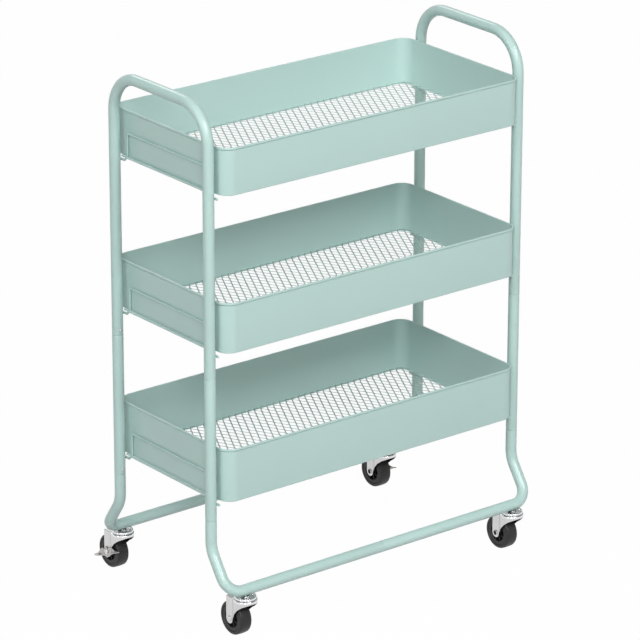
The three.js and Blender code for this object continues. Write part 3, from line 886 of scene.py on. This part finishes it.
def crown_x(y):
    """How far out the crown is at a place along the caster, behind the stem never less than the leg."""
    round_x = math.sqrt(max(SHELL_R ** 2 - y * y, 0.0))
    return max(LEG_X, round_x) if y > 0 else round_x


def pressed(y):
    """How deep the pressed line between the straight leg and the flare is at a place."""
    return PRESS_DEEP * max(0.0, 1 - abs(y - CREASE_Y + PRESS_HALF) / PRESS_HALF)


def fork_stations():
    """Places round the sheet, back right to back left, as (top x, bottom x, y)."""
    strip = [TRAIL + LEG_HALF * math.cos(math.radians(a)) for a in range(0, 181, 12)]
    strip += [CREASE_Y - PRESS_HALF * i / 2 for i in range(1, 5)]
    start = CREASE_Y - 2 * PRESS_HALF
    bend = [start - (start - ROUND_Y) * i / 6 for i in range(1, 7)]
    round_front = [SHELL_R * math.sin(math.radians(a)) for a in range(24, -90, -6)]
    half = []
    for y in strip + bend + round_front:
        flare = crown_x(y) - LEG_X
        foot_x = LEG_X + FLARE_AT_FOOT * flare if y > 0 else crown_x(y)
        half.append((crown_x(y) - pressed(y), foot_x - pressed(y), y))
    return half + [(0.0, 0.0, -SHELL_R)] + [(-top, -bottom, y) for top, bottom, y in reversed(half)]


def fork_sheet(name, spot):
    rows = []
    for top_x, bottom_x, y in fork_stations():
        foot = lower_edge(y)
        wall_top = SHELL_TOP - FOLD_R
        inward = Vector((-top_x, -y if y < 0 else 0, 0)).normalized()
        row = []
        for i in range(9):
            share = i / 8
            x = bottom_x + (top_x - bottom_x) * min(1.0, share * FLARE_RISE)
            row.append(Vector((x, y, foot + (wall_top - foot) * share)))
        for i in range(1, 6):
            angle = math.pi / 2 * i / 5
            fold = inward * FOLD_R * (1 - math.cos(angle)) + Vector((0, 0, FOLD_R * math.sin(angle)))
            row.append(Vector((top_x, y, wall_top)) + fold)
        rows.append(row)
    columns = len(rows[0])
    points = [spot + p for row in rows for p in row]
    faces = grid_faces(len(rows), columns)
    faces.append([row * columns + columns - 1 for row in range(len(rows))])
    fork = finish_mesh(name, points, faces, zinc_plate, 40)
    face_up(fork)
    # Painted shade: the inside of the sheet takes the near-black zinc, its cut edges the grey.
    fork.data.materials.append(black_zinc_painted_shade)
    fork.data.materials.append(grey_zinc_painted_shade)
    # The pressed line's faces take the near-black zinc: painted shade in the groove.
    line_y = spot.y + CREASE_Y - PRESS_HALF
    for face in fork.data.polygons:
        if abs(face.center.y - line_y) < PRESS_HALF * 0.6 and abs(face.normal.z) < 0.5:
            face.material_index = 1
    thick = thicken(fork, LEG_THICK)
    # The inside shell takes the near-black zinc and the rims the grey one, as painted shade.
    thick.material_offset = 1
    thick.material_offset_rim = 2
    return fork


def thicken(sheet, thickness):
    """Give a sheet its thickness on the inside, with edges that are slightly rounded."""
    thick = sheet.modifiers.new("thickness", "SOLIDIFY")
    thick.thickness = thickness
    thick.offset = -1
    edge = sheet.modifiers.new("edge", "BEVEL")
    edge.width = 0.25 * MM
    edge.segments = 2
    edge.limit_method = "ANGLE"
    edge.angle_limit = math.radians(50)
    return thick


def face_up(sheet):
    """An open sheet has no inside, so its top is made to face up by hand."""
    top = max(sheet.data.polygons, key=lambda face: face.area)
    if top.normal.z < 0:
        sheet.data.flip_normals()


# %% [markdown]
# ### Chromed races
# The crown ring turns with the fork and the cup above it stays with the cart. They are turned
# parts with rolled lips, so a profile round an axis makes them. The lips are generous curves,
# because a curve is what draws the bright line that makes chrome look like chrome.

# %% Turn the races and the nut
RACE_BORE_R = 3.3 * MM
NUT_BORE_R = 3.2 * MM
NUT_R = 6.4 * MM
NUT_LOW = 61.9 * MM
PIN_HEAD_R = 5 * MM
PIN_R = 3 * MM
STUD_R = 4 * MM


def crown_ring_profile():
    foot = CROWN_TOP - 3.5 * MM
    lip = 1.0 * MM
    outer = arc(CROWN_R - lip, foot + lip, lip, -90, 0, 5)
    outer += arc(CROWN_R - 1.3 * MM, CROWN_TOP - 1.3 * MM, 1.3 * MM, 0, 90, 7)
    return [(RACE_BORE_R, foot), *outer, (RACE_BORE_R, CROWN_TOP)]


def cup_profile():
    roll = 0.8 * MM
    top = cup_high.z
    outer = arc(CUP_R - 1.4 * MM, CUP_Z + 1.4 * MM, 1.4 * MM, -90, 0, 6)
    lip = arc(CUP_R - roll, top - roll, roll, 0, 180, 10)
    inner = arc(CUP_R - 2 * roll - 1.6 * MM, CUP_Z + 2.7 * MM, 1.6 * MM, 0, -90, 6)
    return [(RACE_BORE_R, CUP_Z), *outer, *lip, *inner, (RACE_BORE_R, CUP_Z + 1.1 * MM)]


def turn_stem(name, spot, low, high):
    """A hexagon nut and, through it, a pin with the rivet's head below and the stud above."""
    nut_top = RAIL_Z - TUBE_R - 0.3 * MM
    bevel = 0.5 * MM
    nut = [(NUT_BORE_R, NUT_LOW), (NUT_R, NUT_LOW), (NUT_R, nut_top - bevel)]
    nut += [(NUT_R - bevel, nut_top), (NUT_BORE_R, nut_top)]
    head_top = low.z + 2.5 * MM
    pin = [(0.0, low.z), (PIN_HEAD_R, low.z), (PIN_HEAD_R, head_top), (PIN_R, head_top)]
    pin += [(PIN_R, NUT_LOW), (STUD_R, NUT_LOW), (STUD_R, high.z), (0.0, high.z)]
    points = turned_points(nut, spot, UP, 6)
    faces = grid_faces(6, len(nut), close_rows=True, close_columns=True)
    first = len(points)
    points += turned_points(pin, spot, UP, 32)
    round_faces = grid_faces(32, len(pin), close_rows=True, close_columns=True)
    faces += [[first + i for i in face] for face in round_faces]
    # The nut and pin take the grey zinc, painted shade.
    return finish_mesh(name, points, faces, grey_zinc_painted_shade, 25)


# %% [markdown]
# ### Wheels
# Each wheel is one moulding with a deep recess round its hub and eight ribs across the recess.
# The wheel is turned, and the ribs are one small slab set round the axle by the copying tree.

# %% Turn the wheel and rib its recess
HUB_R = 5.2 * MM
RECESS_R = 13.8 * MM
RECESS_HALF = 3.5 * MM
GROOVE_R = 19.6 * MM
WHEEL_BORE_R = 3.2 * MM
STEP = 0.35 * MM
TREAD_EDGE = 2.6 * MM
TREAD_CROWN = 0.35 * MM
RIB_COUNT = 8
RIB_HALF = 0.55 * MM
RIB_SUNK = 1.6 * MM


def wheel_profile():
    """Half-profile as (radius, along): hub, recess, side, grooved step, round edge and tread."""
    face = WHEEL_HALF - 0.5 * MM
    hub_end = WHEEL_HALF - 0.2 * MM
    half = [(WHEEL_BORE_R, hub_end), (HUB_R - 0.4 * MM, hub_end), (HUB_R, hub_end - 0.4 * MM)]
    half += [(HUB_R + 0.3 * MM, RECESS_HALF), (RECESS_R - 0.5 * MM, RECESS_HALF)]
    half += [(RECESS_R, face - 0.6 * MM), (RECESS_R + 0.6 * MM, face)]
    half += [(GROOVE_R - 0.5 * MM, face), (GROOVE_R, face - STEP)]
    half += [(GROOVE_R + 0.5 * MM, face + STEP)]
    shoulder = WHEEL_R - TREAD_CROWN - TREAD_EDGE
    for i in range(7):
        angle = math.pi / 2 * i / 6
        along = WHEEL_HALF - TREAD_EDGE + TREAD_EDGE * math.cos(angle)
        half.append((shoulder + TREAD_EDGE * math.sin(angle), along))
    for i in (3, 2, 1):
        half.append((WHEEL_R - TREAD_CROWN * (i / 4) ** 2, (WHEEL_HALF - TREAD_EDGE) * i / 4))
    return half + [(WHEEL_R, 0.0)] + [(r, -x) for r, x in reversed(half)]


def rib_slab():
    deep = WHEEL_HALF - RIB_SUNK
    heights = (HUB_R, RECESS_R)
    corners = [(x, y, z) for x in (-deep, deep) for y in (-RIB_HALF, RIB_HALF) for z in heights]
    sides = [(0, 1, 3, 2), (4, 6, 7, 5), (0, 4, 5, 1), (2, 3, 7, 6), (0, 2, 6, 4), (1, 5, 7, 3)]
    return finish_mesh("rib slab", corners, sides, black_wheel)


def make_wheel(name, centre):
    wheel = turned(name + ".body", wheel_profile(), centre, Vector((1, 0, 0)), black_wheel, 96, 30)
    slab = rib_slab()
    turns = [2 * math.pi * (i + 0.5) / RIB_COUNT for i in range(RIB_COUNT)]
    places = [(centre, Vector((0, math.sin(a), math.cos(a)))) for a in turns]
    values = {"Copy": slab, "Finish": black_wheel}
    ribs = grown(name + ".ribs", copies_tree, arrow_mesh(places), values)
    bpy.data.objects.remove(slab)
    return joined(name, [wheel, ribs])


def joined(name, pieces):
    work = bmesh.new()
    for piece in pieces:
        work.from_mesh(piece.data)
    mesh = pieces[0].data
    work.to_mesh(mesh)
    work.free()
    for piece in pieces[1:]:
        bpy.data.objects.remove(piece)
    pieces[0].name = name
    mesh.name = name
    return pieces[0]


# %% [markdown]
# ### Axle rivets
# The axle is a rivet with a plain low head outside and an open, rolled end inside. The open
# end shows as a dark eye with a bright rim, so its hollow is really sunk and is coloured with the
# wheel's black as painted shade.

# %% Turn the axle
AXLE_R = 2.9 * MM
HOLLOW_R = 3.3 * MM
HEAD_THICK = 1.0 * MM


def axle_profile(plain, opened):
    """Half-profile as (radius, along), plain head at the low end and open end at the high end."""
    head = [(0.0, plain - HEAD_THICK), (2.6 * MM, plain - 0.95 * MM)]
    head += [(3.7 * MM, plain - 0.6 * MM), (4.2 * MM, plain)]
    rim = arc(3.8 * MM, opened + 0.45 * MM, 0.45 * MM, -60, 180, 10)
    hollow = LEG_X + 0.15 * MM
    shank = [(AXLE_R, plain), (AXLE_R, hollow - 1 * MM), (HOLLOW_R, hollow - 1 * MM)]
    return head + shank + rim + [(HOLLOW_R, hollow), (0.0, hollow)]


def make_axle(name, centre, low, high, outward):
    axis = Vector((-outward, 0, 0))
    outer = (centre.x - low.x if outward < 0 else high.x - centre.x) - HEAD_THICK
    inner = (high.x - centre.x if outward < 0 else centre.x - low.x) - HEAD_THICK
    piece = turned(name, axle_profile(-outer, inner), centre, axis, zinc_plate, 40, 35)
    # The hollow's faces take the wheel's black: painted shade inside the rolled end.
    piece.data.materials.append(black_wheel)
    for face in piece.data.polygons:
        offset = Vector(face.center) - centre
        along = offset.dot(axis)
        radius = (offset - axis * along).length
        if 0 < along < inner + 0.3 * MM and radius < HOLLOW_R + 0.02 * MM:
            face.material_index = 1
    return piece


# %% [markdown]
# ### Foot brakes
# The lever is a leaf of sheet with a tongue in the middle and a wing at each end. Near the axle
# it stands upright, and towards the tips it twists flat to make a place for a toe. It is drawn
# as one strip whose width, twist and dish all change along its length.

# %% Twist the brake leaf
LEAF_REACH = 33 * MM
LEAF_TILT = math.radians(21.5)
LEAF_DROOP = math.radians(3.0)
LEAF_THICK = 1.1 * MM
LEAF_DISH = -1.5 * MM
LEAF_TWIST = math.radians(74)
TONGUE_LIFT = 1.6 * MM
TONGUE_REACH = 4.5 * MM
# Pairs of (distance from the axle, width above or below it), in millimetres.
LEAF_TOPS = (
    (0.0, 8.0), (2.6, 7.6), (3.6, 3.0), (5.0, 4.2), (8.0, 6.8),
    (13.0, 6.2), (20.0, 4.4), (27.0, 2.2), (33.0, 0.4),
)
LEAF_FEET = (
    (0.0, 8.4), (4.0, 7.4), (9.0, 5.0), (14.0, 3.6),
    (20.0, 2.8), (27.0, 1.8), (33.0, 0.4),
)


def share_past(reach, start, length):
    """How far a place is through a stretch of the leaf, from 0 before it to 1 after it."""
    return min(1.0, max(0.0, (reach - start) / length))


def smooth_between(value, table):
    for (x0, y0), (x1, y1) in zip(table, table[1:]):
        if value <= x1:
            t = (value - x0) / (x1 - x0)
            return y0 + (y1 - y0) * t * t * (3 - 2 * t)
    return table[-1][1]


def make_brake(name, centre, outward, seat):
    rows = []
    steps = 44
    across = 8
    for i in range(steps + 1):
        u = LEAF_REACH * (2 * i / steps - 1)
        reach = abs(u)
        top = smooth_between(reach / MM, LEAF_TOPS) * MM
        foot = smooth_between(reach / MM, LEAF_FEET) * MM
        half = (top + foot) / 2
        lifted = 0.9 * MM + TONGUE_LIFT * (1 - share_past(reach, 0.0, TONGUE_REACH))
        ease = share_past(reach, 9 * MM, 17 * MM)
        twist = LEAF_TWIST * ease * ease * (3 - 2 * ease)
        dish = LEAF_DISH * min(1.0, half / (5 * MM)) * share_past(reach, 7 * MM, 6 * MM)
        row = []
        for j in range(across + 1):
            v = 2 * j / across - 1
            along_strip = (top - foot) / 2 + half * v
            depth = dish * (1 - v * v)
            out = lifted + (top - along_strip) * math.sin(twist) + depth * math.cos(twist)
            z = along_strip * math.cos(twist) + depth * math.sin(twist)
            row.append(Vector((outward * out, u, z - reach * math.tan(LEAF_DROOP))))
        rows.append(row)
    lean = Matrix.Rotation(-LEAF_TILT, 3, "X")
    base = centre + Vector((outward * seat, 0, 0))
    points = [base + lean @ p for row in rows for p in row]
    faces = grid_faces(len(rows), across + 1)
    # The leaf takes a darker zinc: painted shade on its dished faces.
    leaf = finish_mesh(name, points, faces, lever_zinc_painted_shade, 60)
    if leaf.data.polygons[len(leaf.data.polygons) // 2].normal.x * outward < 0:
        leaf.data.flip_normals()
    thicken(leaf, LEAF_THICK)
    return leaf


# %% Build the four casters
def dress(piece, body, slot, *nodes):
    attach(piece, body)
    if nodes:
        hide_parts(*nodes)


for side, sx in SIDES:
    for end, sy in ENDS:
        spot = caster_box("cup", side, end)[2]
        spot.z = 0
        place = f"{side}_{end}"
        hub = spot + Vector((0, TRAIL, WHEEL_R))
        fork_body, wheel_body = f"fork_{place}", f"wheel_{place}"
        fork = fork_sheet(f"fork_shell_{place}", spot)
        dress(fork, fork_body, "zinc_steel", f"caster_fork_{place}")
        crown = turned(f"crown_race_{place}", crown_ring_profile(), spot, UP, chrome_plate, 72)
        dress(crown, fork_body, "chrome")
        cup = turned(f"cup_race_{place}", cup_profile(), spot, UP, chrome_plate, 72)
        dress(cup, "frame", "chrome", f"caster_cup_{place}")
        low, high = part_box(f"caster_stem_{place}")
        stem = turn_stem(f"stem_and_nut_{place}", spot, low, high)
        dress(stem, "frame", "zinc_steel", f"caster_stem_{place}")
        wheel = make_wheel(f"wheel_moulding_{place}", hub)
        dress(wheel, wheel_body, "black_wheel", f"caster_wheel_{place}")
        low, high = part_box(f"caster_axle_{place}")
        axle = make_axle(f"axle_rivet_{place}", hub, low, high, sx)
        dress(axle, fork_body, "zinc_steel", f"caster_axle_{place}")
        if sy > 0:
            leaf = make_brake(f"brake_leaf_{side}", hub, sx, LEG_X + 0.3 * MM)
            dress(leaf, f"brake_{side}", "zinc_steel", f"caster_brake_{place}")
print("casters built")

# %% [markdown]
# ## What stays as it was measured
# The two sleeves that join the rail halves sit inside the tube and are never seen from outside,
# so their measured solids stay and only take the right finish.

# %% Finish the hidden sleeves
for name in ("rail_joiner_front", "rail_joiner_back"):
    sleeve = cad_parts[name]
    sleeve.data.materials.clear()
    sleeve.data.materials.append(zinc_plate)
print("sleeves finished")

# %% [markdown]
# ## Floor and light
# A catalogue background is white without strong lamps. The floor and the world turn white only
# for the rays that look straight at them or in a mirror, while for every other ray the floor is
# a plain pale board, so that it keeps a faint shadow under the wheels. In reflections the world
# also darkens overhead, as a studio's ceiling does, or the paint would look washed out.

# %% Lay the floor
def seen_directly(tree):
    path = tree.add("ShaderNodeLightPath")
    direct = path["Is Camera Ray"] + path["Is Glossy Ray"] + path["Is Transmission Ray"]
    return direct.math("MINIMUM", direct, 1.0)


FLOOR_HALF = 12.0
FLOOR_GLOW = 0.985
BOARD_COLOR = (0.50, 0.50, 0.50)
floor_mesh = bpy.data.meshes.new("floor")
floor_corners = [(x * FLOOR_HALF, y * FLOOR_HALF, 0) for x, y in ((-1, -1), (1, -1), (1, 1), (-1, 1))]
floor_mesh.from_pydata(floor_corners, [], [(0, 1, 2, 3)])
floor = add_object("floor", floor_mesh)
floor_finish = bpy.data.materials.new("pale floor")
floor_finish.use_nodes = True
board_tree = Tree(floor_finish.node_tree)
board = board_tree.add("ShaderNodeBsdfDiffuse", {"Color": (*BOARD_COLOR, 1)})
glow = board_tree.add("ShaderNodeEmission", {"Color": (1, 1, 1, 1), "Strength": 1.0})
share = seen_directly(board_tree) * FLOOR_GLOW
mixed = board_tree.add("ShaderNodeMixShader", {0: share, 1: board, 2: glow})
floor_output = floor_finish.node_tree.nodes["Material Output"]
floor_finish.node_tree.links.new(mixed.socket, floor_output.inputs["Surface"])
floor_mesh.materials.append(floor_finish)

# %% Light the world
WORLD_LEVEL = 0.02
CEILING_LEVEL = 0.20
world = bpy.data.worlds.new("studio")
bpy.context.scene.world = world
world.use_nodes = True
world_tree = Tree(world.node_tree)
background = world.node_tree.nodes["Background"]
background.inputs["Color"].default_value = (1, 1, 1, 1)
ways = world_tree.add("ShaderNodeTexCoord")["Generated"]
height = world_tree.add("ShaderNodeSeparateXYZ", {0: ways})["Z"]
band_values = {"Value": height, "From Min": 0.22, "From Max": 0.5}
low_band = world_tree.add("ShaderNodeMapRange", band_values)
mirrored = world_tree.add("ShaderNodeLightPath")["Is Glossy Ray"]
studio_ceiling = mirrored * low_band * (1 - CEILING_LEVEL)
level = WORLD_LEVEL + seen_directly(world_tree) * (1 - WORLD_LEVEL) * (1 - studio_ceiling)
world.node_tree.links.new(level.socket, background.inputs["Strength"])

# %% Hang the softboxes
SOFTBOX_SIZE = 2.6
DOME_R = 8.0
DOME_CENTRE = Vector((0, 0, 0.35))


def softbox(name, azimuth, elevation, power):
    """A square lamp on a half dome round the cart, placed by its compass angle and its height."""
    lamp = bpy.data.lights.new(name, "AREA")
    lamp.shape = "SQUARE"
    lamp.size = SOFTBOX_SIZE
    lamp.energy = power
    place = DOME_CENTRE + compass(math.radians(azimuth), math.radians(elevation)) * DOME_R
    aim = (DOME_CENTRE - place).to_track_quat("-Z", "Y")
    add_object(name, lamp).matrix_world = Matrix.Translation(place) @ aim.to_matrix().to_4x4()


softbox("front softbox", 0, 42, 345)
softbox("camera side softbox", -38, 30, 236)
softbox("left softbox", -80, 30, 150)
softbox("high left softbox", -80, 60, 60)
softbox("back softbox", 165, 40, 110)
print("lamps set")
